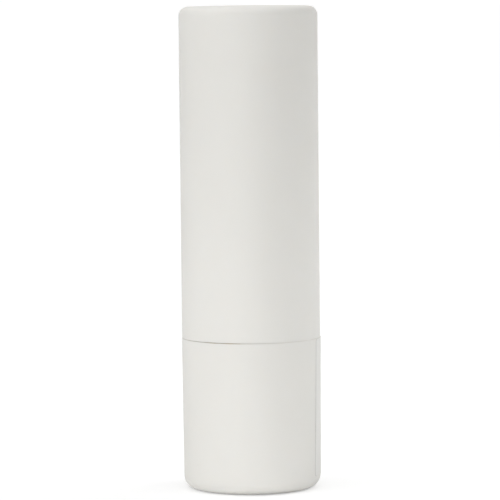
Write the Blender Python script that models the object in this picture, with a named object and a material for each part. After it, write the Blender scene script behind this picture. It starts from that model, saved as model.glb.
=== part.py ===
# A twist-up lip balm stick: cap, turning base, barrel, screw, elevator, balm and the blank label on the base.
# Lengths are in metres and +Z is up. The stick stands on its base, with its axis on Z and its front towards -Y.

import math

import bmesh
import bpy

# Whole stick
STICK_HEIGHT = 0.068
CAP_DIAMETER = 0.0195
BASE_HEIGHT = 0.02135
SEAM_GAP = 0.00015

# Cap
CAP_WALL = 0.0011
CAP_ROOF = 0.0013
CAP_TOP_FILLET = 0.0013
CAP_CROWN = 0.00005
CAP_INNER_FILLET = 0.0007
CAP_MOUTH_CHAMFER = 0.00012
CAP_LAND_STEP = 0.0001
CAP_RIB_COUNT = 8
CAP_RIB_WIDTH = 0.0008
CAP_RIB_CLEARANCE = 0.0001
CAP_RIB_LIFT = 0.0006

# Base
BASE_PROUD = 0.00003
BASE_DRAFT = 0.00013
BASE_FILLET = 0.00175
BASE_FLOOR = 0.0014
BASE_RIM_CHAMFER = 0.00012
BASE_CORNER = 0.0005
GATE_RECESS_DIAMETER = 0.005
GATE_RECESS_DEPTH = 0.0004
SOCKET_HEIGHT = 0.0066
SOCKET_WALL = 0.0011
GUSSET_COUNT = 6
GUSSET_THICKNESS = 0.0008
GUSSET_CLEARANCE = 0.0005
GUSSET_HEIGHT_SHARE = 0.7
GUSSET_TOE_SHARE = 0.25

# Snap joint that lets the barrel turn in the base
RUNNING_GAP = 0.0003
SNAP_LEVEL_SHARE = 0.64
SNAP_WIDTH = 0.0008
SNAP_GRIP = 0.00025
SNAP_CLEARANCE = 0.0002

# Barrel
BARREL_WALL = 0.0012
BARREL_FOOT_GAP = 0.0003
BARREL_FOOT_CHAMFER = 0.0006
BARREL_RIM_ROUND = 0.0004
CAP_HEADROOM = 0.0052
COLLAR_HEIGHT = 0.005
COLLAR_STEP = 0.00025
CAP_BEAD_HEIGHT = 0.00027
CAP_BEAD_WIDTH = 0.0012
CAP_BEAD_LEVEL_SHARE = 0.5
CAP_FIT = 0.00008
KEYWAY_COUNT = 2
KEYWAY_WIDTH = 0.002
KEYWAY_DEPTH = 0.0005

# Screw
LEAD = 0.006
SCREW_STARTS = 2
CORE_DIAMETER = 0.0042
THREAD_DEPTH = 0.0008
CREST_HALF_ANGLE = 20
ROOT_ANGLES = (50, 90, 130)
TIP_LENGTH = 0.0012
TIP_SHARE = 0.7
SCREW_RUNOUT = 0.0013
FOOT_DIAMETER = 0.0058
FOOT_FIT = 0.00005
FLANGE_THICKNESS = 0.0009
SEAT_GAP = 0.0001

# Elevator
NUT_REST_GAP = 0.0003
NUT_LENGTH = 0.0065
NUT_WALL = 0.0011
NUT_CLEARANCE = 0.0002
CUP_FLOOR = 0.0012
CUP_DEPTH = 0.007
CUP_WALL = 0.0008
CUP_CHAMFER = 0.0003
SLIDE_GAP = 0.00015
KEY_GAP = 0.00015
KEY_HEIGHT = 0.004
KEY_STOP_GAP = 0.0003
FIN_COUNT = 4
FIN_THICKNESS = 0.0008
FIN_REACH = 0.0014
FIN_HEIGHT_SHARE = 0.6
RIM_STOP = 0.0015

# Balm
BALM_GAP = 0.00005
BALM_BORE_CLEARANCE = 0.00015
BALM_SHOW = 0.0028
BALM_DOME = 0.0022

# Label, with its start leaning a little; its angles go from the front towards the right
LABEL_TOP_START_ANGLE = 67.9
LABEL_FOOT_START_ANGLE = 66
LABEL_END_ANGLE = 260
LABEL_THICKNESS = 0.00006
LABEL_GLUE = 0.00002
LABEL_FOOT_MARGIN = 0.0001
LABEL_TOP_MARGIN = 0.00006

# Facets
OUTER_FACETS = 64
INNER_FACETS = 48
FOOT_SIDES = 6
FLANGE_FACETS = 24
FILLET_FACETS = 6
SMALL_FACETS = 3
LAYERS_PER_TURN = 16
LABEL_FACETS = 64
SHARP_ANGLE = 30
OVERRUN = 0.0003
WELD = 0.000001

# Radii, from the outside in
cap_radius = CAP_DIAMETER / 2
cap_bore = cap_radius - CAP_WALL
land_bore = cap_bore - CAP_LAND_STEP
cap_bead_radius = land_bore - CAP_FIT
collar_radius = cap_bead_radius - CAP_BEAD_HEIGHT
barrel_radius = collar_radius - COLLAR_STEP
cap_rib_radius = barrel_radius + CAP_RIB_CLEARANCE
barrel_bore = barrel_radius - BARREL_WALL
keyway_radius = barrel_bore + KEYWAY_DEPTH
elevator_radius = barrel_bore - SLIDE_GAP
cup_bore = elevator_radius - CUP_WALL
base_rim_radius = cap_radius + BASE_PROUD
base_foot_radius = base_rim_radius - BASE_DRAFT
base_bore = collar_radius + RUNNING_GAP
snap_bead_radius = collar_radius - SNAP_GRIP
snap_groove_radius = snap_bead_radius - SNAP_CLEARANCE
core_radius = CORE_DIAMETER / 2
crest_radius = core_radius + THREAD_DEPTH
foot_radius = FOOT_DIAMETER / 2
socket_radius = foot_radius + FOOT_FIT + SOCKET_WALL
nut_radius = crest_radius + NUT_CLEARANCE + NUT_WALL
balm_bore = crest_radius + BALM_BORE_CLEARANCE
balm_radius = barrel_bore - BALM_GAP

# Levels above the ground
cap_level = BASE_HEIGHT + SEAM_GAP
roof_level = STICK_HEIGHT - CAP_ROOF
barrel_level = BASE_FLOOR + BARREL_FOOT_GAP
barrel_top = roof_level - CAP_HEADROOM
collar_top = BASE_HEIGHT + COLLAR_HEIGHT
rib_level = collar_top + CAP_RIB_LIFT
snap_level = BASE_HEIGHT * SNAP_LEVEL_SHARE
screw_level = BASE_FLOOR + SEAT_GAP
socket_top = BASE_FLOOR + SOCKET_HEIGHT
flange_level = socket_top + SEAT_GAP
thread_level = flange_level + FLANGE_THICKNESS
elevator_level = thread_level + NUT_REST_GAP
cup_level = elevator_level + NUT_LENGTH
cup_floor_top = cup_level + CUP_FLOOR
cup_rim = cup_floor_top + CUP_DEPTH
travel = barrel_top - RIM_STOP - cup_rim
screw_top = cup_floor_top + travel + SCREW_RUNOUT
key_level = cup_level + CUP_CHAMFER
key_top = key_level + KEY_HEIGHT
keyway_top = key_top + travel + KEY_STOP_GAP
fin_top = cup_floor_top + CUP_DEPTH * FIN_HEIGHT_SHARE
balm_level = cup_floor_top + BALM_GAP
balm_top = barrel_top + BALM_SHOW
label_foot = BASE_FILLET + LABEL_FOOT_MARGIN
label_top = BASE_HEIGHT - LABEL_TOP_MARGIN

# The fins stand half a step off the keys, where the cup's wall is plain
first_fin_turn = math.tau / FIN_COUNT / 2


def clear_scene():
    for thing in list(bpy.data.objects):
        bpy.data.objects.remove(thing, do_unlink=True)


def surface(name, colour, roughness, subsurface=0.0):
    material = bpy.data.materials.new(name)
    material.use_nodes = True
    shader = material.node_tree.nodes["Principled BSDF"]
    shader.inputs["Base Color"].default_value = (*colour, 1)
    shader.inputs["Roughness"].default_value = roughness
    shader.inputs["Metallic"].default_value = 0
    shader.inputs["Subsurface Weight"].default_value = subsurface
    material.diffuse_color = (*colour, 1)
    return material


def finish(name, shape, level=0, material=None):
    # Makes an object of the shape, with its origin on the axis at the given level. Without a material it is a cutter.
    bmesh.ops.recalc_face_normals(shape, faces=shape.faces)
    bmesh.ops.translate(shape, verts=shape.verts, vec=(0, 0, -level))
    mesh = bpy.data.meshes.new(name)
    shape.to_mesh(mesh)
    shape.free()
    mesh.shade_smooth()
    mesh.set_sharp_from_angle(angle=math.radians(SHARP_ANGLE))
    piece = bpy.data.objects.new(name, mesh)
    piece.location.z = level
    bpy.context.scene.collection.objects.link(piece)
    if material:
        mesh.materials.append(material)
    else:
        piece.hide_render = True
        piece.display_type = "WIRE"
    return piece


def combine(piece, operation, other):
    change = piece.modifiers.new(other.name, "BOOLEAN")
    change.operation = operation
    change.solver = "EXACT"
    change.object = other


def carry(piece, carrier):
    piece.parent = carrier
    piece.location.z -= carrier.location.z


def round_corner(centre, radius, first, last, count):
    # Points of an arc in the (radius, height) plane, with angles in degrees from the outward direction.
    angles = [math.radians(first + (last - first) * i / count) for i in range(count + 1)]
    return [(centre[0] + radius * math.cos(a), centre[1] + radius * math.sin(a)) for a in angles]


def turned(name, outline, facets, level=0, material=None, closed=False):
    # Spins an outline of (radius, height) points round the axis. An open outline starts and ends on the axis.
    shape = bmesh.new()
    points = [shape.verts.new((radius, 0, height)) for radius, height in outline]
    following = points[1:] + points[:1] if closed else points[1:]
    edges = [shape.edges.new(pair) for pair in zip(points, following)]
    bmesh.ops.spin(
        shape, geom=points + edges, axis=(0, 0, 1), angle=math.tau, steps=facets, use_merge=True
    )
    bmesh.ops.remove_doubles(shape, verts=shape.verts, dist=WELD)
    return finish(name, shape, level, material)


def bridge(shape, rings):
    # Joins rings of points into one closed skin, with a face at each end.
    for lower, upper in zip(rings, rings[1:]):
        for i, point in enumerate(lower):
            following = (i + 1) % len(lower)
            shape.faces.new((point, lower[following], upper[following], upper[i]))
    shape.faces.new(rings[0])
    shape.faces.new(rings[-1])


def ring(shape, section, turn, height):
    return [
        shape.verts.new((radius * math.cos(turn + angle), radius * math.sin(turn + angle), height))
        for angle, radius in section
    ]


def fins(name, outline, thickness, count, first_turn=0.0):
    # Flat fins with the same outline of (radius, height) points, spread evenly round the axis.
    shape = bmesh.new()
    for i in range(count):
        turn = first_turn + math.tau * i / count
        sides = []
        for across in (-thickness / 2, thickness / 2):
            sides.append([
                shape.verts.new((
                    radius * math.cos(turn) - across * math.sin(turn),
                    radius * math.sin(turn) + across * math.cos(turn),
                    height,
                ))
                for radius, height in outline
            ])
        bridge(shape, sides)
    return finish(name, shape)


def prism(name, radius, bottom, top, sides):
    shape = bmesh.new()
    section = [(math.tau * i / sides, radius) for i in range(sides)]
    bridge(shape, [ring(shape, section, 0, bottom), ring(shape, section, 0, top)])
    return finish(name, shape)


def thread_section(clearance):
    # One layer of the screw as (angle, radius): a flat crest for each start, and a round root after it.
    section = []
    for start in range(SCREW_STARTS):
        middle = math.tau * start / SCREW_STARTS
        crest = math.radians(CREST_HALF_ANGLE)
        section.append((middle - crest, crest_radius + clearance))
        section.append((middle + crest, crest_radius + clearance))
        section += [(middle + math.radians(root), core_radius + clearance) for root in ROOT_ANGLES]
    return section


def thread_rings(shape, bottom, top, clearance=0.0):
    # Layers of a left-hand thread. Their turn goes by the height alone, so that a screw and its nut are in step.
    layers = math.ceil((top - bottom) / LEAD * LAYERS_PER_TURN)
    heights = [bottom + (top - bottom) * i / layers for i in range(layers + 1)]
    return [ring(shape, thread_section(clearance), -math.tau * height / LEAD, height) for height in heights]


def build_cap(material):
    fillet_level = STICK_HEIGHT - CAP_CROWN - CAP_TOP_FILLET
    outline = [(0, STICK_HEIGHT)]
    outline += reversed(
        round_corner((cap_radius - CAP_TOP_FILLET, fillet_level), CAP_TOP_FILLET, 0, 90, FILLET_FACETS)
    )
    outline += [
        (cap_radius, cap_level + CAP_MOUTH_CHAMFER),
        (cap_radius - CAP_MOUTH_CHAMFER, cap_level),
        (land_bore + CAP_MOUTH_CHAMFER, cap_level),
        (land_bore, cap_level + CAP_MOUTH_CHAMFER),
        (land_bore, rib_level),
        (cap_bore, rib_level + CAP_LAND_STEP),
    ]
    inner = (cap_bore - CAP_INNER_FILLET, roof_level - CAP_INNER_FILLET)
    outline += round_corner(inner, CAP_INNER_FILLET, 0, 90, SMALL_FACETS)
    outline += [(0, roof_level)]
    cap = turned("cap", outline, OUTER_FACETS, cap_level, material)
    root = cap_bore + OVERRUN
    ribs = fins(
        "cap_ribs",
        [
            (root, rib_level),
            (root, roof_level + OVERRUN),
            (cap_rib_radius, roof_level + OVERRUN),
            (cap_rib_radius, rib_level + root - cap_rib_radius),
        ],
        CAP_RIB_WIDTH,
        CAP_RIB_COUNT,
    )
    combine(cap, "UNION", ribs)
    return cap


def build_base(material):
    recess = GATE_RECESS_DIAMETER / 2
    snap_slope = base_bore - snap_bead_radius
    snap_half = SNAP_WIDTH / 2
    outline = [(0, GATE_RECESS_DEPTH), (recess - GATE_RECESS_DEPTH, GATE_RECESS_DEPTH), (recess, 0)]
    outline += round_corner((base_foot_radius - BASE_FILLET, BASE_FILLET), BASE_FILLET, -90, 0, FILLET_FACETS)
    outline += [
        (base_rim_radius, BASE_HEIGHT - BASE_RIM_CHAMFER),
        (base_rim_radius - BASE_RIM_CHAMFER, BASE_HEIGHT),
        (base_bore + BASE_RIM_CHAMFER, BASE_HEIGHT),
        (base_bore, BASE_HEIGHT - BASE_RIM_CHAMFER),
        (base_bore, snap_level + snap_half + snap_slope),
        (snap_bead_radius, snap_level + snap_half),
        (snap_bead_radius, snap_level - snap_half),
        (base_bore, snap_level - snap_half - snap_slope),
        (base_bore, BASE_FLOOR + BASE_CORNER),
        (base_bore - BASE_CORNER, BASE_FLOOR),
        (socket_radius, BASE_FLOOR),
        (socket_radius, socket_top),
        (0, socket_top),
    ]
    base = turned("base", outline, OUTER_FACETS, 0, material)
    gusset_root = socket_radius - SOCKET_WALL / 2
    gusset_reach = barrel_bore - GUSSET_CLEARANCE
    gussets = fins(
        "base_gussets",
        [
            (gusset_root, BASE_FLOOR - OVERRUN),
            (gusset_reach, BASE_FLOOR - OVERRUN),
            (gusset_reach, BASE_FLOOR + SOCKET_HEIGHT * GUSSET_TOE_SHARE),
            (gusset_root, BASE_FLOOR + SOCKET_HEIGHT * GUSSET_HEIGHT_SHARE),
        ],
        GUSSET_THICKNESS,
        GUSSET_COUNT,
    )
    combine(base, "UNION", gussets)
    socket = prism("base_socket", foot_radius + FOOT_FIT, BASE_FLOOR, socket_top + OVERRUN, FOOT_SIDES)
    combine(base, "DIFFERENCE", socket)
    return base


def build_barrel(material):
    groove_floor = SNAP_WIDTH / 2 + SNAP_CLEARANCE
    groove_mouth = groove_floor + collar_radius - snap_groove_radius
    bead_level = BASE_HEIGHT + COLLAR_HEIGHT * CAP_BEAD_LEVEL_SHARE
    bead_half = CAP_BEAD_WIDTH / 2
    rim = (barrel_radius - BARREL_RIM_ROUND, barrel_top - BARREL_RIM_ROUND)
    outline = [
        (barrel_bore, barrel_level),
        (collar_radius - BARREL_FOOT_CHAMFER, barrel_level),
        (collar_radius, barrel_level + BARREL_FOOT_CHAMFER),
        (collar_radius, snap_level - groove_mouth),
        (snap_groove_radius, snap_level - groove_floor),
        (snap_groove_radius, snap_level + groove_floor),
        (collar_radius, snap_level + groove_mouth),
        (collar_radius, bead_level - bead_half),
        (cap_bead_radius, bead_level - bead_half / 2),
        (cap_bead_radius, bead_level + bead_half / 2),
        (collar_radius, bead_level + bead_half),
        (collar_radius, collar_top - COLLAR_STEP),
        (barrel_radius, collar_top),
    ]
    outline += round_corner(rim, BARREL_RIM_ROUND, 0, 90, SMALL_FACETS)
    outline += [
        (barrel_bore + BARREL_RIM_ROUND / 2, barrel_top),
        (barrel_bore, barrel_top - BARREL_RIM_ROUND / 2),
    ]
    barrel = turned("barrel", outline, INNER_FACETS, barrel_level, material, closed=True)
    keyways = fins(
        "barrel_keyways",
        [
            (barrel_bore - OVERRUN, barrel_level - OVERRUN),
            (keyway_radius, barrel_level - OVERRUN),
            (keyway_radius, keyway_top),
            (barrel_bore - OVERRUN, keyway_top),
        ],
        KEYWAY_WIDTH,
        KEYWAY_COUNT,
    )
    combine(barrel, "DIFFERENCE", keyways)
    return barrel


def build_spindle(material):
    shape = bmesh.new()
    rings = thread_rings(shape, thread_level - OVERRUN, screw_top - TIP_LENGTH)
    tip = [(angle, core_radius * TIP_SHARE) for angle, radius in thread_section(0)]
    rings.append(ring(shape, tip, -math.tau * screw_top / LEAD, screw_top))
    bridge(shape, rings)
    spindle = finish("spindle", shape, screw_level, material)
    flange = prism("spindle_flange", socket_radius, flange_level, thread_level, FLANGE_FACETS)
    foot = prism("spindle_foot", foot_radius, screw_level, flange_level + OVERRUN, FOOT_SIDES)
    combine(spindle, "UNION", flange)
    combine(spindle, "UNION", foot)
    return spindle


def fin_outline(gap):
    # Side view of the fins that keep the balm from turning in its cup, or of the slots that they leave in it.
    reach = cup_bore - FIN_REACH - gap
    return [
        (cup_bore + OVERRUN, cup_floor_top - OVERRUN),
        (cup_bore + OVERRUN, fin_top + gap),
        (reach, fin_top - FIN_REACH / 2 + gap),
        (reach, cup_floor_top - OVERRUN),
    ]


def build_elevator(material):
    outline = [
        (0, elevator_level),
        (nut_radius - CUP_CHAMFER, elevator_level),
        (nut_radius, elevator_level + CUP_CHAMFER),
        (nut_radius, cup_level),
        (elevator_radius - CUP_CHAMFER, cup_level),
        (elevator_radius, cup_level + CUP_CHAMFER),
        (elevator_radius, cup_rim - CUP_CHAMFER),
        (elevator_radius - CUP_CHAMFER, cup_rim),
        (cup_bore, cup_rim),
        (cup_bore, cup_floor_top),
        (0, cup_floor_top),
    ]
    elevator = turned("elevator", outline, INNER_FACETS, elevator_level, material)
    key_radius = keyway_radius - KEY_GAP
    keys = fins(
        "elevator_keys",
        [
            (elevator_radius - CUP_WALL / 2, key_level),
            (key_radius, key_level),
            (key_radius, key_top),
            (elevator_radius - CUP_WALL / 2, key_top),
        ],
        KEYWAY_WIDTH - 2 * KEY_GAP,
        KEYWAY_COUNT,
    )
    combine(elevator, "UNION", keys)
    combine(elevator, "UNION", fins("elevator_fins", fin_outline(0), FIN_THICKNESS, FIN_COUNT, first_fin_turn))
    shape = bmesh.new()
    bridge(shape, thread_rings(shape, elevator_level - OVERRUN, cup_floor_top + OVERRUN, NUT_CLEARANCE))
    combine(elevator, "DIFFERENCE", finish("elevator_thread", shape))
    return elevator


def build_balm(material):
    steps = 2 * SMALL_FACETS
    angles = [math.tau / 4 * i / steps for i in range(steps + 1)]
    outline = [
        (balm_radius * math.sin(a), balm_top - BALM_DOME + BALM_DOME * math.cos(a)) for a in angles
    ]
    outline += [
        (balm_radius, cup_rim + BALM_GAP),
        (cup_bore - BALM_GAP, cup_rim + BALM_GAP),
        (cup_bore - BALM_GAP, balm_level),
        (balm_bore, balm_level),
        (balm_bore, screw_top + BALM_BORE_CLEARANCE),
        (0, screw_top + BALM_BORE_CLEARANCE),
    ]
    balm = turned("balm", outline, INNER_FACETS, balm_level, material)
    slot_width = FIN_THICKNESS + 2 * BALM_GAP
    combine(balm, "DIFFERENCE", fins("balm_slots", fin_outline(BALM_GAP), slot_width, FIN_COUNT, first_fin_turn))
    return balm


def base_skin(height):
    # Radius of the base's drafted side at a height between its fillet and its rim.
    share = (height - BASE_FILLET) / (BASE_HEIGHT - BASE_RIM_CHAMFER - BASE_FILLET)
    return base_foot_radius + BASE_DRAFT * share


def build_label(material):
    shape = bmesh.new()
    rings = []
    foot = (label_foot, LABEL_FOOT_START_ANGLE)
    top = (label_top, LABEL_TOP_START_ANGLE)
    for i in range(LABEL_FACETS + 1):
        corners = []
        for (height, start), proud in ((foot, 0), (foot, 1), (top, 1), (top, 0)):
            angle = math.radians(start + (LABEL_END_ANGLE - start) * i / LABEL_FACETS)
            radius = base_skin(height) + LABEL_GLUE + LABEL_THICKNESS * proud
            corners.append(shape.verts.new((radius * math.sin(angle), -radius * math.cos(angle), height)))
        rings.append(corners)
    bridge(shape, rings)
    return finish("rear_label", shape, label_foot, material)


def build_stick():
    satin_white = surface("satin_white_plastic", (0.79, 0.78, 0.745), 0.42, 0.05)
    natural_white = surface("natural_white_plastic", (0.80, 0.775, 0.715), 0.45, 0.1)
    balm_cream = surface("cream_balm", (0.86, 0.78, 0.57), 0.38, 0.2)
    label_white = surface("white_label_film", (0.79, 0.785, 0.755), 0.35)
    barrel = build_barrel(natural_white)
    base = build_base(satin_white)
    spindle = build_spindle(natural_white)
    label = build_label(label_white)
    elevator = build_elevator(natural_white)
    balm = build_balm(balm_cream)
    cap = build_cap(satin_white)
    # The base turns on the axis with its screw and label; the elevator slides with the balm; the cap pulls off.
    carry(spindle, base)
    carry(label, base)
    carry(balm, elevator)
    return [barrel, base, spindle, label, elevator, balm, cap]


clear_scene()
build_stick()
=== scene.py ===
# A round twist-up lip balm stick in off-white satin plastic: its looks, light and camera round the packed
# frame. Lengths are in metres and +Z is up; the front of the stick faces -Y.
import math

import bmesh
import bpy
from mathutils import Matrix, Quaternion, Vector


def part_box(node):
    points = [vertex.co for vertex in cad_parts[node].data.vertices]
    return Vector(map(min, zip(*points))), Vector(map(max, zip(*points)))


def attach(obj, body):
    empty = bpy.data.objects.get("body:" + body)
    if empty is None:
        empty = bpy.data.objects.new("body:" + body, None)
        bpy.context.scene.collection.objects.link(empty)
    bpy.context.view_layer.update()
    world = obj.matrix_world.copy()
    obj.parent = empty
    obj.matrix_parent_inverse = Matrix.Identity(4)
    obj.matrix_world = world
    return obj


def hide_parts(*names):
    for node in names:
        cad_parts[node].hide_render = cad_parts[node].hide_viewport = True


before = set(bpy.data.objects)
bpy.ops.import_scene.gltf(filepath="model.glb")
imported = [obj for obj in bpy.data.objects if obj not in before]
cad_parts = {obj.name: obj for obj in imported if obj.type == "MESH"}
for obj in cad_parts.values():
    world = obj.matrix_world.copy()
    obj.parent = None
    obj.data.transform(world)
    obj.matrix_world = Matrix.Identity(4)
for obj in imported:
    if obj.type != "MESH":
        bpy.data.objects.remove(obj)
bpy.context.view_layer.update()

capLow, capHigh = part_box("cap")
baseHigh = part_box("base")[1]
barrelLow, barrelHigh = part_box("barrel")
spindleLow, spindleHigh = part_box("spindle")
elevatorLow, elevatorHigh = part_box("elevator")
balmLow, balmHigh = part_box("balm")
labelLow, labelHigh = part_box("rear_label")


# Mesh helpers: arcs and straight runs give (radius, height) points, and a lathe turns them round the axis

mesh = {
    "outerSides": 256, "innerSides": 192, "filletSteps": 10, "edgeSteps": 5, "endLoop": 0.0001,
    "sharpAngle": 32, "weld": 1e-7, "overrun": 0.0003,
}


def arc(centre, radius, first, last, steps=mesh["filletSteps"]):
    # angles are in degrees from the outward direction
    angles = [math.radians(first + (last - first) * i / steps) for i in range(steps + 1)]
    return [(centre[0] + radius * math.cos(a), centre[1] + radius * math.sin(a)) for a in angles]


def straight(start, end, steps=1, edge=mesh["endLoop"]):
    # a straight run with a loop close to both ends, so that smooth shading stays true along it
    length = math.dist(start, end)
    shares = [0, edge / length] + [i / steps for i in range(1, steps)] + [1 - edge / length, 1]
    return [(start[0] + (end[0] - start[0]) * s, start[1] + (end[1] - start[1]) * s) for s in shares]


def addObject(name, shape):
    piece = bpy.data.objects.new(name, bpy.data.meshes.new(name))
    shape.to_mesh(piece.data)
    shape.free()
    bpy.context.scene.collection.objects.link(piece)
    return piece


def lathe(name, outline, sides, closed=False):
    # a point on the axis becomes a closed pole; closed joins the outline's end to its start
    shape = bmesh.new()
    rings = []
    for radius, height in outline:
        if radius < mesh["weld"]:
            rings.append([shape.verts.new((0, 0, height))] * sides)
        else:
            turns = [math.tau * i / sides for i in range(sides)]
            points = [(radius * math.cos(t), radius * math.sin(t), height) for t in turns]
            rings.append([shape.verts.new(point) for point in points])
    pairs = list(zip(rings, rings[1:] + rings[:1])) if closed else list(zip(rings, rings[1:]))
    for lower, upper in pairs:
        for i in range(sides):
            j = (i + 1) % sides
            corners = list(dict.fromkeys((lower[i], lower[j], upper[j], upper[i])))
            if len(corners) > 2:
                shape.faces.new(corners)
    bmesh.ops.recalc_face_normals(shape, faces=shape.faces)
    return addObject(name, shape)


def prism(name, radius, bottom, top, sides):
    return lathe(name, [(0, bottom), (radius, bottom), (radius, top), (0, top)], sides)


def plainMesh(piece):
    # the mesh that the modifiers give, with the modifiers gone
    depsgraph = bpy.context.evaluated_depsgraph_get()
    made = bpy.data.meshes.new_from_object(piece.evaluated_get(depsgraph), depsgraph=depsgraph)
    piece.modifiers.clear()
    piece.data = made
    return piece


def combine(piece, operation, *others):
    # joins the others to the piece or cuts them out of it, and removes them
    for other in others:
        change = piece.modifiers.new(other.name, "BOOLEAN")
        change.operation = operation
        change.solver = "EXACT"
        change.object = other
    plainMesh(piece)
    for other in others:
        bpy.data.objects.remove(other)


def finishPiece(piece, material, body, node):
    # a piece that has its materials already is given None
    shape = bmesh.new()
    shape.from_mesh(piece.data)
    bmesh.ops.remove_doubles(shape, verts=shape.verts, dist=mesh["weld"])
    bmesh.ops.recalc_face_normals(shape, faces=shape.faces)
    shape.to_mesh(piece.data)
    shape.free()
    if material:
        piece.data.materials.clear()
        piece.data.materials.append(material)
    piece.data.shade_smooth()
    piece.data.set_sharp_from_angle(angle=math.radians(mesh["sharpAngle"]))
    piece.data.name = piece.name
    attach(piece, body)
    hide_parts(node)
    print(piece.name, "made:", len(piece.data.polygons), "faces")


seam = {"stripWidth": 0.0003, "edgeShare": 0.8}


def markSeamShade(piece, material, level, rim, rounding):
    # a finish of its own for the outer strip of the flat ring at a level and for most of its rounded edge,
    # darker as painted shade in the gap between the cap and the base
    innermost = rim - seam["stripWidth"] - mesh["weld"]
    depth = rounding * seam["edgeShare"]
    piece.data.materials.append(material)
    for face in piece.data.polygons:
        points = [piece.data.vertices[i].co for i in face.vertices]
        if all(abs(point.z - level) < depth and point.xy.length > innermost for point in points):
            face.material_index = len(piece.data.materials) - 1


# Geometry Nodes helpers

def newTree(name, inputs):
    tree = bpy.data.node_groups.new(name, "GeometryNodeTree")
    for socketName, kind in inputs.items():
        tree.interface.new_socket(name=socketName, in_out="INPUT", socket_type="NodeSocket" + kind)
    tree.interface.new_socket(name="Geometry", in_out="OUTPUT", socket_type="NodeSocketGeometry")
    return tree


def addNode(tree, kind, settings=None, **links):
    # links name the inputs, with _ for a space or as n and a number, and give each a value or an output
    node = tree.nodes.new(kind)
    node.location = (220 * (len(tree.nodes) % 7), -280 * (len(tree.nodes) // 7))
    for key, value in (settings or {}).items():
        setattr(node, key, value)
    for key, value in links.items():
        number = int(key[1:]) if key[0] == "n" and key[1:].isdigit() else key.replace("_", " ")
        if isinstance(value, bpy.types.NodeSocket):
            tree.links.new(value, node.inputs[number])
        else:
            node.inputs[number].default_value = value
    return node


def calculate(tree, operation, first, second=0.0):
    return addNode(tree, "ShaderNodeMath", {"operation": operation}, n0=first, n1=second).outputs[0]


def grow(tree, name, values):
    # runs a tree with the given inputs and keeps the result as a plain mesh
    piece = bpy.data.objects.new(name, bpy.data.meshes.new(name))
    bpy.context.scene.collection.objects.link(piece)
    modifier = piece.modifiers.new(tree.name, "NODES")
    modifier.node_group = tree
    for item in tree.interface.items_tree:
        if item.in_out == "INPUT" and item.name in values:
            modifier[item.identifier] = values[item.name]
    return plainMesh(piece)


def finTree():
    # flat fins of one four-cornered outline, spread evenly round the axis
    corners = {f"Point {i}": "Vector" for i in range(1, 5)}
    tree = newTree("finTree", {**corners, "Thickness": "Float", "Count": "Int", "First Turn": "Float",
                               "Material": "Material"})
    given = addNode(tree, "NodeGroupInput").outputs
    outline = addNode(tree, "GeometryNodeCurvePrimitiveQuadrilateral", {"mode": "POINTS"})
    for corner in corners:
        tree.links.new(given[corner], outline.inputs[corner])
    side = addNode(tree, "GeometryNodeFillCurve", {"mode": "NGONS"}, Curve=outline.outputs["Curve"])
    raised = addNode(tree, "GeometryNodeExtrudeMesh", {"mode": "FACES"}, Mesh=side.outputs["Mesh"],
                     Offset_Scale=given["Thickness"], Individual=False)
    farSide = addNode(tree, "GeometryNodeFlipFaces", Mesh=side.outputs["Mesh"])
    both = addNode(tree, "GeometryNodeJoinGeometry")
    tree.links.new(raised.outputs["Mesh"], both.inputs[0])
    tree.links.new(farSide.outputs["Mesh"], both.inputs[0])
    closed = addNode(tree, "GeometryNodeMergeByDistance", Geometry=both.outputs[0], Distance=mesh["weld"])
    half = calculate(tree, "MULTIPLY", given["Thickness"], 0.5)
    across = addNode(tree, "ShaderNodeCombineXYZ", Y=half)
    upright = addNode(tree, "GeometryNodeTransform", Geometry=closed.outputs[0],
                      Translation=across.outputs[0], Rotation=(math.pi / 2, 0, 0))
    places = addNode(tree, "GeometryNodePoints", Count=given["Count"])
    index = addNode(tree, "GeometryNodeInputIndex").outputs[0]
    step = calculate(tree, "DIVIDE", math.tau, given["Count"])
    turn = calculate(tree, "ADD", calculate(tree, "MULTIPLY", index, step), given["First Turn"])
    facing = addNode(tree, "ShaderNodeCombineXYZ", Z=turn)
    placed = addNode(tree, "GeometryNodeInstanceOnPoints", Points=places.outputs[0],
                     Instance=upright.outputs[0], Rotation=facing.outputs[0])
    real = addNode(tree, "GeometryNodeRealizeInstances", Geometry=placed.outputs[0])
    last = addNode(tree, "GeometryNodeSetMaterial", Geometry=real.outputs[0], Material=given["Material"])
    tree.links.new(last.outputs[0], addNode(tree, "NodeGroupOutput").inputs[0])
    return tree


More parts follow.
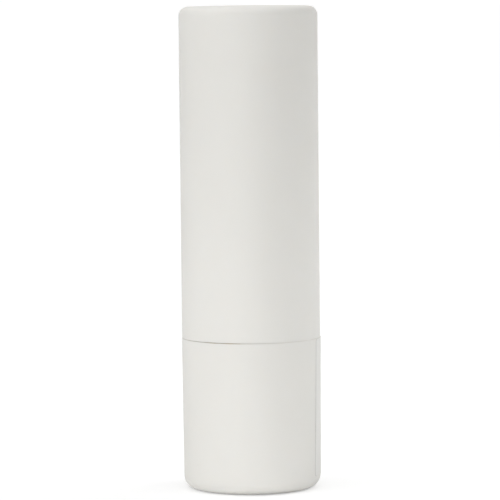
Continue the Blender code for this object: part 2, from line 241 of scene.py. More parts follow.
def threadTree():
    # a coarse left-hand screw: a tube of points, pushed out to the crests and turned by its height
    tree = newTree("threadTree", {
        "Core Radius": "Float", "Thread Depth": "Float", "Starts": "Int", "Lead": "Float", "Bottom": "Float",
        "Top": "Float", "Tip Length": "Float", "Tip Radius": "Float", "Crest Edge": "Float",
        "Root Edge": "Float", "Sides": "Int", "Layers": "Int", "Material": "Material",
    })
    given = addNode(tree, "NodeGroupInput").outputs
    length = calculate(tree, "SUBTRACT", given["Top"], given["Bottom"])
    tube = addNode(tree, "GeometryNodeMeshCylinder", {"fill_type": "NGON"}, Vertices=given["Sides"],
                   Side_Segments=given["Layers"], Radius=1.0, Depth=length)
    place = addNode(tree, "GeometryNodeInputPosition").outputs[0]
    axes = addNode(tree, "ShaderNodeSeparateXYZ", Vector=place).outputs
    middle = calculate(tree, "MULTIPLY", calculate(tree, "ADD", given["Top"], given["Bottom"]), 0.5)
    height = calculate(tree, "ADD", axes["Z"], middle)
    angle = calculate(tree, "ARCTAN2", axes["Y"], axes["X"])
    wave = calculate(tree, "COSINE", calculate(tree, "MULTIPLY", angle, given["Starts"]))
    crestWave = calculate(tree, "COSINE", calculate(tree, "MULTIPLY", given["Crest Edge"], given["Starts"]))
    rootWave = calculate(tree, "COSINE", calculate(tree, "MULTIPLY", given["Root Edge"], given["Starts"]))
    crest = addNode(tree, "ShaderNodeMapRange", {"interpolation_type": "SMOOTHSTEP"}, Value=wave,
                    From_Min=rootWave, From_Max=crestWave).outputs[0]
    raised = calculate(tree, "MULTIPLY", crest, given["Thread Depth"])
    radius = calculate(tree, "ADD", given["Core Radius"], raised)
    crestRadius = calculate(tree, "ADD", given["Core Radius"], given["Thread Depth"])
    tipLevel = calculate(tree, "SUBTRACT", given["Top"], given["Tip Length"])
    cone = addNode(tree, "ShaderNodeMapRange", Value=height, From_Min=tipLevel, From_Max=given["Top"],
                   To_Min=crestRadius, To_Max=given["Tip Radius"]).outputs[0]
    reach = calculate(tree, "MINIMUM", radius, cone)
    turn = calculate(tree, "MULTIPLY", calculate(tree, "DIVIDE", height, given["Lead"]), -math.tau)
    bearing = calculate(tree, "ADD", angle, turn)
    moved = addNode(tree, "ShaderNodeCombineXYZ", Z=height,
                    X=calculate(tree, "MULTIPLY", reach, calculate(tree, "COSINE", bearing)),
                    Y=calculate(tree, "MULTIPLY", reach, calculate(tree, "SINE", bearing)))
    shaped = addNode(tree, "GeometryNodeSetPosition", Geometry=tube.outputs["Mesh"],
                     Position=moved.outputs[0])
    real = addNode(tree, "GeometryNodeRealizeInstances", Geometry=shaped.outputs[0])
    last = addNode(tree, "GeometryNodeSetMaterial", Geometry=real.outputs[0], Material=given["Material"])
    tree.links.new(last.outputs[0], addNode(tree, "NodeGroupOutput").inputs[0])
    return tree


fins = finTree()
thread = threadTree()
print("node trees built:", fins.name, "and", thread.name)


def growFins(name, outline, thickness, count, firstTurn, material):
    # flat fins round the axis, the first one turned by an angle in radians
    values = {f"Point {i + 1}": (radius, height, 0) for i, (radius, height) in enumerate(outline)}
    values.update({"Thickness": thickness, "Count": count, "First Turn": firstTurn, "Material": material})
    return grow(fins, name, values)


# Materials

def newMaterial(name, look):
    # a Principled surface with the look's plain values, and the Object coordinates that its pattern reads
    material = bpy.data.materials.new(name)
    material.use_nodes = True
    tree = material.node_tree
    shader = tree.nodes["Principled BSDF"]
    shader.inputs["Roughness"].default_value = look["roughness"]
    shader.inputs["IOR"].default_value = look["ior"]
    shader.inputs["Specular IOR Level"].default_value = look["specular"]
    shader.inputs["Subsurface Weight"].default_value = look["subsurface"]
    shader.inputs["Subsurface Radius"].default_value = look["scatter"]
    shader.inputs["Subsurface Scale"].default_value = look["scatterScale"]
    material.diffuse_color = (*look["colour"], 1)
    coordinates = addNode(tree, "ShaderNodeTexCoord").outputs["Object"]
    return material, tree, shader, coordinates


def noise(tree, vector, scale, detail=2.0, roughness=0.5):
    return addNode(tree, "ShaderNodeTexNoise", Vector=vector, Scale=scale, Detail=detail,
                   Roughness=roughness).outputs["Fac"]


def spread(tree, value, low, high, fromLow=0.3, fromHigh=0.7):
    # stretches the middle of a noise, or another range, over low to high
    return addNode(tree, "ShaderNodeMapRange", Value=value, From_Min=fromLow, From_Max=fromHigh,
                   To_Min=low, To_Max=high).outputs[0]


def mixColours(tree, factor, first, second):
    # first and second are colours or outputs; factor 0 gives the first
    node = addNode(tree, "ShaderNodeMix", {"data_type": "RGBA"})
    for number, value in ((0, factor), (6, first), (7, second)):
        if isinstance(value, bpy.types.NodeSocket):
            tree.links.new(value, node.inputs[number])
        else:
            node.inputs[number].default_value = value if number == 0 else (*value, 1)
    return node.outputs[2]


def bump(tree, height, distance, before=None):
    node = addNode(tree, "ShaderNodeBump", Height=height, Distance=distance, Strength=1.0)
    if before:
        tree.links.new(before, node.inputs["Normal"])
    return node.outputs[0]


def stretch(tree, coordinates, scale):
    return addNode(tree, "ShaderNodeMapping", Vector=coordinates, Scale=scale).outputs[0]


shellLook = {
    "colour": (0.79, 0.78, 0.745), "shade": (0.775, 0.764, 0.727), "roughness": 0.55, "ior": 1.49,
    "specular": 0.3, "subsurface": 0.12, "scatter": (1.0, 0.85, 0.7), "scatterScale": 0.0012,
    "cloudScale": 70, "grainScale": 7000, "grainHeight": 0.0000016, "grainRoughness": 0.035,
    "drawScale": (900, 900, 14), "drawHeight": 0.0000012, "waveScale": 150, "waveHeight": 0.000006,
}


def satinPlastic(name, look):
    # spark-eroded satin: cloudy tone, fine grain, faint draw marks along the axis and a slow waviness
    material, tree, shader, coordinates = newMaterial(name, look)
    cloud = spread(tree, noise(tree, coordinates, look["cloudScale"], 3.0), 0.0, 1.0)
    tree.links.new(mixColours(tree, cloud, look["shade"], look["colour"]), shader.inputs["Base Color"])
    grain = noise(tree, coordinates, look["grainScale"], 2.0)
    drawn = noise(tree, stretch(tree, coordinates, look["drawScale"]), 1.0, 3.0)
    rough = spread(tree, drawn, look["roughness"] - look["grainRoughness"],
                   look["roughness"] + look["grainRoughness"])
    tree.links.new(rough, shader.inputs["Roughness"])
    normal = bump(tree, noise(tree, coordinates, look["waveScale"], 1.0), look["waveHeight"])
    normal = bump(tree, drawn, look["drawHeight"], normal)
    normal = bump(tree, grain, look["grainHeight"], normal)
    tree.links.new(normal, shader.inputs["Normal"])
    return material


labelLook = {
    "colour": (0.79, 0.785, 0.755), "shade": (0.777, 0.771, 0.739), "roughness": 0.5, "ior": 1.5,
    "specular": 0.3, "subsurface": 0.05, "scatter": (1.0, 0.9, 0.8), "scatterScale": 0.0005,
    "cloudScale": 110, "fibreScale": (1500, 1500, 260), "fibreHeight": 0.0000015, "fibreRoughness": 0.04,
    "rippleScale": 90, "rippleHeight": 0.000012,
}


def labelFilmMaterial(name, look):
    # coated film: soft ripples from the glue under it and a fine fibre in the coat
    material, tree, shader, coordinates = newMaterial(name, look)
    cloud = spread(tree, noise(tree, coordinates, look["cloudScale"], 3.0), 0.0, 1.0)
    tree.links.new(mixColours(tree, cloud, look["shade"], look["colour"]), shader.inputs["Base Color"])
    fibre = noise(tree, stretch(tree, coordinates, look["fibreScale"]), 1.0, 3.0)
    rough = spread(tree, fibre, look["roughness"] - look["fibreRoughness"],
                   look["roughness"] + look["fibreRoughness"])
    tree.links.new(rough, shader.inputs["Roughness"])
    normal = bump(tree, noise(tree, coordinates, look["rippleScale"], 1.0), look["rippleHeight"])
    normal = bump(tree, fibre, look["fibreHeight"], normal)
    tree.links.new(normal, shader.inputs["Normal"])
    return material


# the seam's faces, darker than the shell as painted shade in the gap between cap and base, with a smear of
# dried balm over a part of the front that also deepens the painted shade there; its side and widths are in
# degrees
seamShadeAndSmearLook = {
    "colour": (0.72, 0.70, 0.65), "roughness": 0.7, "ior": 1.49, "specular": 0.3,
    "subsurface": 0.12, "scatter": (1.0, 0.85, 0.7), "scatterScale": 0.0012,
    "smearAndShadeColour": (0.58, 0.46, 0.29), "smearAndShadeDeep": (0.42, 0.31, 0.17), "smearScale": 900,
    "smearSide": -22, "smearWidth": 27, "smearFade": 8, "smearRaggedness": 0.12,
    "thinSmear": 0.35, "thinBelow": 0.42, "thickAbove": 0.6,
}


def seamShadeAndSmearMaterial(name, look):
    # nearly clean but darker than the shell as painted shade, with a ragged smear of dried balm that also
    # deepens the painted shade, whose thickness changes from place to place
    material, tree, shader, coordinates = newMaterial(name, look)
    flat = addNode(tree, "ShaderNodeVectorMath", {"operation": "MULTIPLY"}, n0=coordinates, n1=(1, 1, 0))
    outward = addNode(tree, "ShaderNodeVectorMath", {"operation": "NORMALIZE"}, n0=flat.outputs[0])
    side = math.radians(look["smearSide"])
    near = addNode(tree, "ShaderNodeVectorMath", {"operation": "DOT_PRODUCT"}, n0=outward.outputs[0],
                   n1=(math.sin(side), -math.cos(side), 0)).outputs["Value"]
    patch = noise(tree, coordinates, look["smearScale"], 2.0)
    ragged = calculate(tree, "MULTIPLY", calculate(tree, "SUBTRACT", patch, 0.5), look["smearRaggedness"])
    innerEdge = math.cos(math.radians(look["smearWidth"] / 2))
    outerEdge = math.cos(math.radians(look["smearWidth"] / 2 + look["smearFade"]))
    # the smear's patch is partly dried balm and partly painted shade in the seam
    smearAndShadeMask = spread(tree, calculate(tree, "ADD", near, ragged), 0.0, 1.0, outerEdge, innerEdge)
    clots = noise(tree, coordinates, look["smearScale"] / 2, 3.0)
    thickness = spread(tree, clots, look["thinSmear"], 1.0, look["thinBelow"], look["thickAbove"])
    smearAndShadeMask = calculate(tree, "MULTIPLY", smearAndShadeMask, thickness)
    smearAndShadeTone = mixColours(tree, spread(tree, patch, 0.0, 1.0), look["smearAndShadeDeep"], look["smearAndShadeColour"])
    tree.links.new(mixColours(tree, smearAndShadeMask, look["colour"], smearAndShadeTone), shader.inputs["Base Color"])
    return material


# the cut edge's darker tone is partly dust and partly painted shade in the gap under the film's edge
dustAndShadeEdgeLook = {
    **labelLook, "colour": (0.67, 0.66, 0.63), "shade": (0.58, 0.57, 0.54), "roughness": 0.7,
    "dustScale": 2500,
}


def dustAndShadeEdgeMaterial(name, look):
    # the film's cut edge and its lip of glue, darker partly for dust and partly as painted shade in the gap
    # under the edge
    material, tree, shader, coordinates = newMaterial(name, look)
    dust = spread(tree, noise(tree, coordinates, look["dustScale"], 2.0), 0.0, 1.0)
    tree.links.new(mixColours(tree, dust, look["shade"], look["colour"]), shader.inputs["Base Color"])
    return material


innerLook = {
    "colour": (0.80, 0.775, 0.715), "shade": (0.785, 0.757, 0.69), "roughness": 0.38, "ior": 1.49,
    "specular": 0.5, "subsurface": 0.3, "scatter": (1.0, 0.82, 0.6), "scatterScale": 0.0015,
    "cloudScale": 90, "grainScale": 6000, "grainHeight": 0.000001, "grainRoughness": 0.05,
    "drawScale": (700, 700, 20), "drawHeight": 0.0000015, "waveScale": 180, "waveHeight": 0.000008,
}

balmLook = {
    "colour": (0.88, 0.80, 0.60), "shade": (0.83, 0.735, 0.51), "roughness": 0.38, "ior": 1.45,
    "specular": 0.5, "subsurface": 0.55, "scatter": (1.0, 0.7, 0.35), "scatterScale": 0.0022,
    "cloudScale": 260, "sweatRoughness": 0.08,
    "poreScale": 3000, "poreBottom": 0.28, "poreRim": 0.42, "poreHeight": 0.000008,
    "pourScale": (60, 60, 900), "pourHeight": 0.000008, "waveScale": 220, "waveHeight": 0.00002,
}


def waxMaterial(name, look):
    # poured wax: clouded tone, level bands from the pour, small pores and a sheen that comes and goes
    material, tree, shader, coordinates = newMaterial(name, look)
    cloud = spread(tree, noise(tree, coordinates, look["cloudScale"], 4.0, 0.6), 0.0, 1.0)
    tree.links.new(mixColours(tree, cloud, look["shade"], look["colour"]), shader.inputs["Base Color"])
    band = noise(tree, stretch(tree, coordinates, look["pourScale"]), 1.0, 2.0)
    pore = spread(tree, noise(tree, coordinates, look["poreScale"], 2.0, 0.6), 0.0, 1.0,
                  look["poreBottom"], look["poreRim"])
    rough = spread(tree, noise(tree, coordinates, look["cloudScale"], 2.0),
                   look["roughness"] - look["sweatRoughness"], look["roughness"] + look["sweatRoughness"])
    tree.links.new(rough, shader.inputs["Roughness"])
    normal = bump(tree, noise(tree, coordinates, look["waveScale"], 1.0), look["waveHeight"])
    normal = bump(tree, band, look["pourHeight"], normal)
    normal = bump(tree, pore, look["poreHeight"], normal)
    tree.links.new(normal, shader.inputs["Normal"])
    return material


satinShell = satinPlastic("satinShell", shellLook)
innerPlastic = satinPlastic("innerPlastic", innerLook)
labelSurface = labelFilmMaterial("labelFilm", labelLook)
labelEdgeDustAndShade = dustAndShadeEdgeMaterial("labelCutEdgeDustAndShade", dustAndShadeEdgeLook)
seamShadeAndSmear = seamShadeAndSmearMaterial("seamShadeAndSmear", seamShadeAndSmearLook)
balmWax = waxMaterial("balmWax", balmLook)
print("materials built")


# Cap: one moulding with a crowned top, grip ribs inside and a mouth that isn't quite square to the stick

cap = {
    "wall": 0.0011, "roof": 0.0013, "topFillet": 0.0013, "crown": 0.00005, "innerFillet": 0.0007,
    "mouthRound": 0.00003, "landStep": 0.0001, "ribCount": 8, "ribWidth": 0.0008, "ribReach": 0.0006,
    "ribFoot": 0.00545, "gateRadius": 0.0009, "gateTaper": 0.8, "gateHeight": 0.00018,
    "widestGap": 0.000052, "narrowestGap": 0.000004, "widestSide": -33, "gapSharpness": 10,
    "mouthFade": 0.004,
}


def bowMouth(piece, level):
    # the mouth all but meets the base, and stands off it most at one side, in degrees from the front towards
    # the right; the change fades out up the wall
    swing = cap["widestGap"] - cap["narrowestGap"]
    for point in piece.data.vertices:
        share = max(0.0, 1 - (point.co.z - level) / cap["mouthFade"])
        azimuth = math.atan2(point.co.x, -point.co.y) - math.radians(cap["widestSide"])
        gap = cap["narrowestGap"] + swing * math.cos(azimuth / 2) ** (2 * cap["gapSharpness"])
        point.co.z += (gap - (level - baseHigh.z)) * share


def makeCap():
    radius = capHigh.x
    bore = radius - cap["wall"]
    land = bore - cap["landStep"]
    roof = capHigh.z - cap["roof"]
    ribLevel = capLow.z + cap["ribFoot"]
    shoulder = capHigh.z - cap["crown"] - cap["topFillet"]
    mouth = cap["mouthRound"]
    fillet = cap["innerFillet"]
    outline = [(0, capHigh.z)]
    outline += [(radius * share, capHigh.z - cap["crown"] * share ** 2) for share in (0.2, 0.4, 0.6, 0.8)]
    outline += reversed(arc((radius - cap["topFillet"], shoulder), cap["topFillet"], 0, 90))
    outline += straight((radius, shoulder), (radius, capLow.z + mouth), 14)[1:]
    outline += arc((radius - mouth, capLow.z + mouth), mouth, 0, -90, mesh["edgeSteps"])[1:]
    outline += [(radius - seam["stripWidth"], capLow.z)]
    outline += arc((land + mouth, capLow.z + mouth), mouth, -90, -180, mesh["edgeSteps"])
    outline += straight((land, capLow.z + mouth), (land, ribLevel), 2)[1:]
    outline += straight((bore, ribLevel + cap["landStep"]), (bore, roof - fillet), 10)
    outline += arc((bore - fillet, roof - fillet), fillet, 0, 90, steps=6)[1:]
    outline += [(cap["gateRadius"], roof), (cap["gateRadius"] * cap["gateTaper"], roof - cap["gateHeight"])]
    outline += [(0, roof - cap["gateHeight"])]
    shell = lathe("capShell", outline, mesh["outerSides"])
    root = bore + mesh["overrun"]
    reach = bore - cap["ribReach"]
    ribs = growFins(
        "capRibs",
        [(root, ribLevel), (root, roof + mesh["overrun"]), (reach, roof + mesh["overrun"]),
         (reach, ribLevel + root - reach)],
        cap["ribWidth"], cap["ribCount"], 0.0, satinShell,
    )
    combine(shell, "UNION", ribs)
    finishPiece(shell, satinShell, "cap", "cap")
    # the mouth's faces take the darker seam finish: painted shade in the gap, and a smear
    markSeamShade(shell, seamShadeAndSmear, capLow.z, radius, mouth)
    bowMouth(shell, capLow.z)


makeCap()


# Base: one moulded cup with a hexagonal socket, gussets round it and a snap bead for the barrel

base = {
    "draft": 0.00013, "fillet": 0.00175, "floor": 0.0014, "rimRound": 0.00004, "corner": 0.0005,
    "bore": 0.0085, "recessRadius": 0.0025, "recessDepth": 0.0004,
    "gateRadius": 0.0006, "gateTaper": 0.8, "gateHeight": 0.00016,
    "snapLevelShare": 0.64, "snapRadius": 0.00795, "snapHalf": 0.0004,
    "socketRadius": 0.00405, "socketTop": 0.008, "hexRadius": 0.00295,
    "gussetCount": 6, "gussetThickness": 0.0008, "gussetReach": 0.00625, "gussetToe": 0.00305,
    "gussetHead": 0.00602,
}


def makeBase():
    rim = baseHigh.x
    foot = rim - base["draft"]
    top = baseHigh.z
    bore = base["bore"]
    snapLevel = top * base["snapLevelShare"]
    snapHalf = base["snapHalf"]
    snapSlope = bore - base["snapRadius"]
    corner = base["corner"]
    edge = base["rimRound"]
    fillet = base["fillet"]
    gateFoot = base["recessDepth"] - base["gateHeight"]
    outline = [(0, gateFoot), (base["gateRadius"] * base["gateTaper"], gateFoot)]
    outline += [(base["gateRadius"], base["recessDepth"])]
    outline += straight((base["gateRadius"], base["recessDepth"]),
                        (base["recessRadius"] - base["recessDepth"], base["recessDepth"]), 2)[1:]
    outline += straight((base["recessRadius"], 0), (foot - fillet, 0), 4)
    outline += arc((foot - fillet, fillet), fillet, -90, 0)[1:]
    outline += straight((foot, fillet), (rim, top - edge), 8)[1:]
    outline += arc((rim - edge, top - edge), edge, 0, 90, mesh["edgeSteps"])[1:]
    outline += [(rim - seam["stripWidth"], top)]
    outline += arc((bore + edge, top - edge), edge, 90, 180, mesh["edgeSteps"])
    outline += straight((bore, top - edge), (bore, snapLevel + snapHalf + snapSlope), 3)[1:]
    outline += [(base["snapRadius"], snapLevel + snapHalf), (base["snapRadius"], snapLevel - snapHalf)]
    outline += straight((bore, snapLevel - snapHalf - snapSlope), (bore, base["floor"] + corner), 4)
    outline += arc((bore - corner, base["floor"] + corner), corner, 0, -90, mesh["edgeSteps"])[1:]
    outline += [(base["socketRadius"], base["floor"]), (base["socketRadius"], base["socketTop"])]
    outline += [(0, base["socketTop"])]
    shell = lathe("baseShell", outline, mesh["outerSides"])
    root = base["socketRadius"] - mesh["overrun"]
    gussets = growFins(
        "baseGussets",
        [(root, base["floor"] - mesh["overrun"]), (base["gussetReach"], base["floor"] - mesh["overrun"]),
         (base["gussetReach"], base["gussetToe"]), (root, base["gussetHead"])],
        base["gussetThickness"], base["gussetCount"], 0.0, satinShell,
    )
    combine(shell, "UNION", gussets)
    socketEnd = base["socketTop"] + mesh["overrun"]
    socket = prism("baseSocket", base["hexRadius"], base["floor"], socketEnd, sides=6)
    combine(shell, "DIFFERENCE", socket)
    finishPiece(shell, satinShell, "base", "base")
    # the rim's faces take the darker seam finish: painted shade in the gap, and a smear
    markSeamShade(shell, seamShadeAndSmear, top, rim, edge)


makeBase()


# Label: blank film round the back of the base, its cut edge leaning a little, its corners slightly round, and
# a lip of glue all round it, darker for dust and as painted shade; its start and end are in degrees from the
# front towards the right

label = {
    "startTop": 67.9, "startFoot": 65.95, "end": 260.0, "glue": 0.000012, "thickness": 0.00005,
    "corner": 0.0004, "cornerRows": (0.02, 0.1, 0.25, 0.55), "columns": 220, "rows": 22,
    "edgeRound": 0.000012, "glueLip": 0.00004,
}


def makeLabel():
    # grids over the unrolled film, wrapped on the base's drafted side: the glue's outline, the top of the cut
    # edge and the face, with the cut edge and its lip as a strip of its own
    foot = labelLow.z
    top = labelHigh.z
    skinLow = baseHigh.x - base["draft"]
    skinTop = baseHigh.z - base["rimRound"]
    rise = top - foot
    heights = [foot + rise * i / label["rows"] for i in range(label["rows"] + 1)]

    def skin(height):
        share = min(1.0, (height - base["fillet"]) / (skinTop - base["fillet"]))
        return skinLow + base["draft"] * share

    def inset(height):
        # how far the round corner takes the cut edge back at a height, as an angle
        near = min(height - foot, top - height)
        if near >= label["corner"]:
            return 0.0
        back = label["corner"] - math.sqrt(label["corner"] ** 2 - (label["corner"] - near) ** 2)
        return math.degrees(back / skinLow)

    for extra in label["cornerRows"]:
        heights += [foot + label["corner"] * extra, top - label["corner"] * extra]
    heights.sort()
    shape = bmesh.new()
    sheets = []
    for proud, drawnIn in (
        (0.0, 0.0),
        (label["thickness"] - label["edgeRound"], label["glueLip"]),
        (label["thickness"], label["glueLip"] + label["edgeRound"]),
    ):
        rowsOfPoints = []
        for height in heights:
            share = (height - foot) / rise
            level = foot + drawnIn + (rise - 2 * drawnIn) * share
            radius = skin(level) + label["glue"] + proud
            back = math.degrees(drawnIn / skinLow) + inset(height)
            start = label["startFoot"] + (label["startTop"] - label["startFoot"]) * share + back
            finish = label["end"] - back
            row = []
            for i in range(label["columns"] + 1):
                angle = math.radians(start + (finish - start) * i / label["columns"])
                row.append(shape.verts.new((radius * math.sin(angle), -radius * math.cos(angle), level)))
            rowsOfPoints.append(row)
        sheets.append(rowsOfPoints)

    def border(rowsOfPoints):
        left = [row[0] for row in rowsOfPoints]
        right = [row[-1] for row in rowsOfPoints]
        return rowsOfPoints[0] + right[1:] + rowsOfPoints[-1][-2::-1] + left[-2:0:-1]

    for rowsOfPoints in (sheets[0], sheets[2]):
        for lower, upper in zip(rowsOfPoints, rowsOfPoints[1:]):
            for i in range(label["columns"]):
                shape.faces.new((lower[i], lower[i + 1], upper[i + 1], upper[i]))
    # the cut edge and its lip take the second material, darker for dust and as painted shade
    for inner, outer, number in ((sheets[0], sheets[1], 1), (sheets[1], sheets[2], 0)):
        innerLoop = border(inner)
        outerLoop = border(outer)
        for i, point in enumerate(innerLoop):
            j = (i + 1) % len(innerLoop)
            face = shape.faces.new((point, innerLoop[j], outerLoop[j], outerLoop[i]))
            face.material_index = number
    used = {point for face in shape.faces for point in face.verts}
    bmesh.ops.delete(shape, geom=[point for point in shape.verts if point not in used], context="VERTS")
    film = addObject("labelFilm", shape)
    film.data.materials.append(labelSurface)
    film.data.materials.append(labelEdgeDustAndShade)
    finishPiece(film, None, "base", "rear_label")


makeLabel()


# Barrel: the inner tube, with a collar for the cap, a snap groove for the base and two keyways

barrel = {
    "radius": 0.00795, "bore": 0.00675, "collarRadius": 0.0082, "collarTop": 0.02635, "collarStep": 0.00025,
    "footChamfer": 0.0006, "rimRound": 0.0004, "mouthRound": 0.0002,
    "grooveRadius": 0.00775, "grooveHalf": 0.0006, "grooveMouth": 0.00105,
    "beadRadius": 0.00847, "beadLevel": 0.02385, "beadHalf": 0.0006,
    "keyCount": 2, "keyWidth": 0.002, "keyRadius": 0.00725, "keyTop": 0.0564,
}


def makeBarrel():
    low = barrelLow.z
    top = barrelHigh.z
    outer = barrel["radius"]
    collar = barrel["collarRadius"]
    bore = barrel["bore"]
    rimRound = barrel["rimRound"]
    mouthRound = barrel["mouthRound"]
    snapLevel = baseHigh.z * base["snapLevelShare"]
    bead = barrel["beadLevel"]
    # the bead is an arc through its crest and both its feet
    beadRise = barrel["beadRadius"] - collar
    beadBow = (beadRise ** 2 + barrel["beadHalf"] ** 2) / (2 * beadRise)
    beadAngle = math.degrees(math.asin(barrel["beadHalf"] / beadBow))
    outline = straight((bore, low), (collar - barrel["footChamfer"], low))
    outline += straight((collar, low + barrel["footChamfer"]), (collar, snapLevel - barrel["grooveMouth"]), 4)
    outline += [(barrel["grooveRadius"], snapLevel - barrel["grooveHalf"]),
                (barrel["grooveRadius"], snapLevel + barrel["grooveHalf"])]
    outline += straight((collar, snapLevel + barrel["grooveMouth"]), (collar, bead - barrel["beadHalf"]), 3)
    outline += arc((barrel["beadRadius"] - beadBow, bead), beadBow, -beadAngle, beadAngle, steps=12)[1:-1]
    outline += straight((collar, bead + barrel["beadHalf"]),
                        (collar, barrel["collarTop"] - barrel["collarStep"]), 2)
    outline += straight((outer, barrel["collarTop"]), (outer, top - rimRound), 12)
    outline += arc((outer - rimRound, top - rimRound), rimRound, 0, 90, steps=8)[1:]
    outline += arc((bore + mouthRound, top - mouthRound), mouthRound, 90, 180, steps=6)
    outline += straight((bore, top - mouthRound), (bore, low), 12)[1:-1]
    tube = lathe("barrelTube", outline, mesh["innerSides"], closed=True)
    keyways = growFins(
        "barrelKeyways",
        [(bore - mesh["overrun"], low - mesh["overrun"]), (barrel["keyRadius"], low - mesh["overrun"]),
         (barrel["keyRadius"], barrel["keyTop"]), (bore - mesh["overrun"], barrel["keyTop"])],
        barrel["keyWidth"], barrel["keyCount"], 0.0, innerPlastic,
    )
    combine(tube, "DIFFERENCE", keyways)
    finishPiece(tube, innerPlastic, "barrel", "barrel")


makeBarrel()


# Spindle: the coarse two-start screw, left-hand, with a flange and a hexagonal foot

screw = {
    "core": 0.0021, "depth": 0.0008, "starts": 2, "lead": 0.006, "crestEdge": 20, "rootEdge": 50,
    "tipLength": 0.0012, "tipShare": 0.7, "sides": 72, "layersPerTurn": 36, "nutClearance": 0.0002,
    "footRadius": 0.0029, "flangeRadius": 0.00405, "flangeLevel": 0.0081, "flangeTop": 0.009,
    "flangeRound": 0.00015, "flangeSides": 96,
}


def growThread(name, bottom, top, clearance, material, tipLength=0.0):
    crest = screw["core"] + screw["depth"] + clearance
    return grow(thread, name, {
        "Core Radius": screw["core"] + clearance, "Thread Depth": screw["depth"], "Starts": screw["starts"],
        "Lead": screw["lead"], "Bottom": bottom, "Top": top, "Tip Length": tipLength,
        "Tip Radius": screw["core"] * screw["tipShare"] if tipLength else crest,
        "Crest Edge": math.radians(screw["crestEdge"]), "Root Edge": math.radians(screw["rootEdge"]),
        "Sides": screw["sides"], "Layers": math.ceil((top - bottom) / screw["lead"] * screw["layersPerTurn"]),
        "Material": material,
    })


def makeSpindle():
    rod = growThread("spindleScrew", screw["flangeTop"] - mesh["overrun"], spindleHigh.z, 0.0, innerPlastic,
                     screw["tipLength"])
    edge = screw["flangeRound"]
    flange = lathe(
        "spindleFlange",
        [(0, screw["flangeLevel"])]
        + arc((screw["flangeRadius"] - edge, screw["flangeLevel"] + edge), edge, -90, 0, steps=4)
        + arc((screw["flangeRadius"] - edge, screw["flangeTop"] - edge), edge, 0, 90, steps=4)
        + [(0, screw["flangeTop"])],
        screw["flangeSides"],
    )
    footEnd = screw["flangeLevel"] + mesh["overrun"]
    foot = prism("spindleFoot", screw["footRadius"], spindleLow.z, footEnd, sides=6)
    combine(rod, "UNION", flange, foot)
    finishPiece(rod, innerPlastic, "base", "spindle")


makeSpindle()


# Elevator: the cup that holds the balm, with its nut, two keys and four fins

cup = {
    "nutRadius": 0.0042, "radius": 0.0066, "bore": 0.0058, "level": 0.0158, "floorTop": 0.017,
    "chamfer": 0.0003, "keyRadius": 0.0071, "keyWidth": 0.0017, "keyFoot": 0.0161, "keyTop": 0.0201,
    "finCount": 4, "finThickness": 0.0008, "finReach": 0.0014, "finTop": 0.0212,
}
cup["firstFin"] = math.pi / cup["finCount"]        # the fins stand between the keys


def finOutline(gap):
    # the fins themselves, or with a gap the slots that the balm leaves for them
    reach = cup["bore"] - cup["finReach"] - gap
    low = cup["floorTop"] - mesh["overrun"]
    return [(cup["bore"] + mesh["overrun"], low), (cup["bore"] + mesh["overrun"], cup["finTop"] + gap),
            (reach, cup["finTop"] - cup["finReach"] / 2 + gap), (reach, low)]


def makeElevator():
    low = elevatorLow.z
    top = elevatorHigh.z
    edge = cup["chamfer"]
    outline = [(0, low), (cup["nutRadius"] - edge, low)]
    outline += straight((cup["nutRadius"], low + edge), (cup["nutRadius"], cup["level"]), 2)
    outline += straight((cup["radius"] - edge, cup["level"]), (cup["radius"], cup["level"] + edge))
    outline += straight((cup["radius"], cup["level"] + edge), (cup["radius"], top - edge), 3)[1:]
    outline += arc((cup["radius"] - edge, top - edge), edge, 0, 90, steps=6)[1:]
    outline += straight((cup["bore"], top), (cup["bore"], cup["floorTop"]), 3)
    outline += [(0, cup["floorTop"])]
    shell = lathe("elevatorCup", outline, mesh["innerSides"])
    inside = cup["radius"] - mesh["overrun"]
    keys = growFins(
        "elevatorKeys",
        [(inside, cup["keyFoot"]), (cup["keyRadius"], cup["keyFoot"]), (cup["keyRadius"], cup["keyTop"]),
         (inside, cup["keyTop"])],
        cup["keyWidth"], barrel["keyCount"], 0.0, innerPlastic,
    )
    combine(shell, "UNION", keys)
    stays = growFins("elevatorFins", finOutline(0), cup["finThickness"], cup["finCount"], cup["firstFin"],
                     innerPlastic)
    combine(shell, "UNION", stays)
    nut = growThread("elevatorThread", low - mesh["overrun"], cup["floorTop"] + mesh["overrun"],
                     screw["nutClearance"], innerPlastic)
    combine(shell, "DIFFERENCE", nut)
    finishPiece(shell, innerPlastic, "carriage", "elevator")


makeElevator()


# Balm: cast round the screw, with a domed top and a faint mould line under the dome

balm = {
    "gap": 0.00005, "bore": 0.00305, "boreTop": 0.05445, "dome": 0.0022, "domeSteps": 24,
    "lineDepth": 0.00006, "lineHalf": 0.00012, "lineDrop": 0.0006,
}


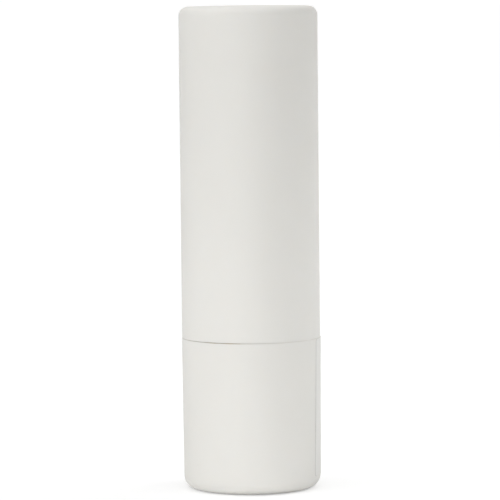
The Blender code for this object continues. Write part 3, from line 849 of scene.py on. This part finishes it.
def makeBalm():
    radius = balmHigh.x
    top = balmHigh.z
    domeFoot = top - balm["dome"]
    gap = balm["gap"]
    line = domeFoot - balm["lineDrop"]
    angles = [math.pi / 2 * i / balm["domeSteps"] for i in range(balm["domeSteps"] + 1)]
    outline = [(radius * math.sin(a), domeFoot + balm["dome"] * math.cos(a)) for a in angles]
    outline += [(radius, line + balm["lineHalf"]), (radius - balm["lineDepth"], line),
                (radius, line - balm["lineHalf"])]
    outline += straight((radius, line - 2 * balm["lineHalf"]), (radius, elevatorHigh.z + gap), 10)
    outline += [(cup["bore"] - gap, elevatorHigh.z + gap)]
    outline += straight((cup["bore"] - gap, elevatorHigh.z), (cup["bore"] - gap, balmLow.z), 2)[1:]
    outline += [(balm["bore"], balmLow.z), (balm["bore"], balm["boreTop"]), (0, balm["boreTop"])]
    bullet = lathe("balmBullet", outline, mesh["innerSides"])
    slots = growFins("balmSlots", finOutline(gap), cup["finThickness"] + 2 * gap, cup["finCount"],
                     cup["firstFin"], balmWax)
    combine(bullet, "DIFFERENCE", slots)
    finishPiece(bullet, balmWax, "carriage", "balm")


makeBalm()


# Floor and background: a plain pale floor that looks white, and keeps a soft shadow of the stick

studio = {
    "floorSide": 24.0, "floorShade": 0.95, "seenShade": 0.62, "farGlow": 0.925, "nearLoss": 0.476,
    "glowReach": 0.49, "ambient": 0.165, "white": 1.0,
}


def seenDirectly(tree):
    # 1 for camera, glossy and transmission rays, 0 for the diffuse light that the object receives
    rays = addNode(tree, "ShaderNodeLightPath").outputs
    glossy = calculate(tree, "MAXIMUM", rays["Is Glossy Ray"], rays["Is Transmission Ray"])
    return calculate(tree, "MAXIMUM", rays["Is Camera Ray"], glossy)


def makeFloor():
    shape = bmesh.new()
    bmesh.ops.create_grid(shape, x_segments=1, y_segments=1, size=studio["floorSide"] / 2)
    floor = addObject("floor", shape)
    material = bpy.data.materials.new("paleFloor")
    material.use_nodes = True
    tree = material.node_tree
    tree.nodes.remove(tree.nodes["Principled BSDF"])
    seen = seenDirectly(tree)
    shade = addNode(tree, "ShaderNodeMapRange", Value=seen, To_Min=studio["floorShade"],
                    To_Max=studio["seenShade"]).outputs[0]
    paint = addNode(tree, "ShaderNodeBsdfDiffuse", Color=shade)
    # as seen, the glow grows away from the stick as the lamps' light falls off, so that the floor is white
    # all over and only the shadow stays
    place = addNode(tree, "ShaderNodeTexCoord").outputs["Object"]
    distance = addNode(tree, "ShaderNodeVectorMath", {"operation": "LENGTH"}, Vector=place).outputs["Value"]
    farness = calculate(tree, "POWER", calculate(tree, "DIVIDE", distance, studio["glowReach"]), 2.0)
    loss = calculate(tree, "DIVIDE", studio["nearLoss"], calculate(tree, "ADD", farness, 1.0))
    level = calculate(tree, "SUBTRACT", studio["farGlow"], loss)
    strength = calculate(tree, "MULTIPLY", seen, level)
    glow = addNode(tree, "ShaderNodeEmission", Strength=strength)
    both = addNode(tree, "ShaderNodeAddShader")
    tree.links.new(paint.outputs[0], both.inputs[0])
    tree.links.new(glow.outputs[0], both.inputs[1])
    tree.links.new(both.outputs[0], tree.nodes["Material Output"].inputs["Surface"])
    floor.data.materials.append(material)


def makeWorld():
    world = bpy.data.worlds.new("softStudio")
    bpy.context.scene.world = world
    world.use_nodes = True
    tree = world.node_tree
    strength = addNode(tree, "ShaderNodeMapRange", Value=seenDirectly(tree), To_Min=studio["ambient"],
                       To_Max=studio["white"]).outputs[0]
    background = tree.nodes["Background"]
    background.inputs["Color"].default_value = (1, 1, 1, 1)
    tree.links.new(strength, background.inputs["Strength"])


makeFloor()
makeWorld()

# Soft lamps round the stick: azimuth from the front towards the right, reach from the axis, height over the
# floor, tilt of the beam below level, all shining towards the axis. The near ones light the floor beside the
# foot, and the low one the rounded foot itself.
lamps = {
    "overhead": {"azimuth": 0, "reach": 0.02, "height": 0.73, "tilt": 88, "size": 1.1, "power": 4.46},
    "leftHigh": {"azimuth": -81, "reach": 0.45, "height": 0.57, "tilt": 50, "size": 0.35, "power": 1.07},
    "frontLow": {"azimuth": -15, "reach": 0.45, "height": 0.012, "tilt": 0, "size": 0.02, "power": 0.605},
    "leftNear": {"azimuth": -50, "reach": 0.08, "height": 0.05, "tilt": 90, "size": 0.05, "power": 0.0066},
    "rightNear": {"azimuth": 65, "reach": 0.08, "height": 0.05, "tilt": 90, "size": 0.05, "power": 0.0065},
    "rearWash": {"azimuth": 120, "reach": 0.16, "height": 0.10, "tilt": 90, "size": 0.10, "power": 0.158},
}


def makeLamps():
    for name, lamp in lamps.items():
        turn = math.radians(lamp["azimuth"])
        tilt = math.radians(lamp["tilt"])
        outward = Vector((math.sin(turn), -math.cos(turn), 0))
        backward = outward * math.cos(tilt) + Vector((0, 0, math.sin(tilt)))        # against the beam
        data = bpy.data.lights.new(name, "AREA")
        data.shape = "SQUARE"
        data.size = lamp["size"]
        data.energy = lamp["power"]
        light = bpy.data.objects.new(name, data)
        light.location = outward * lamp["reach"] + Vector((0, 0, lamp["height"]))
        light.rotation_mode = "QUATERNION"
        light.rotation_quaternion = backward.to_track_quat("Z", "Y")
        light.visible_camera = False
        bpy.context.scene.collection.objects.link(light)


makeLamps()

# Camera: the photograph's viewing angle, a little above the stick's middle
view = {
    "place": (-0.00004, -0.49078, 0.07505), "pitch": 4.8276, "roll": -0.577, "lens": 251.52, "sensor": 36.0,
}


def makeCamera():
    data = bpy.data.cameras.new("camera")
    data.lens = view["lens"]
    data.sensor_width = view["sensor"]
    camera = bpy.data.objects.new("camera", data)
    camera.location = view["place"]
    camera.rotation_mode = "QUATERNION"
    level = Quaternion((1, 0, 0), math.radians(90 - view["pitch"]))
    camera.rotation_quaternion = level @ Quaternion((0, 0, 1), math.radians(view["roll"]))
    bpy.context.scene.collection.objects.link(camera)
    bpy.context.scene.camera = camera


makeCamera()
bpy.context.scene.view_settings.view_transform = "Standard"
print("stage, lamps and camera set")
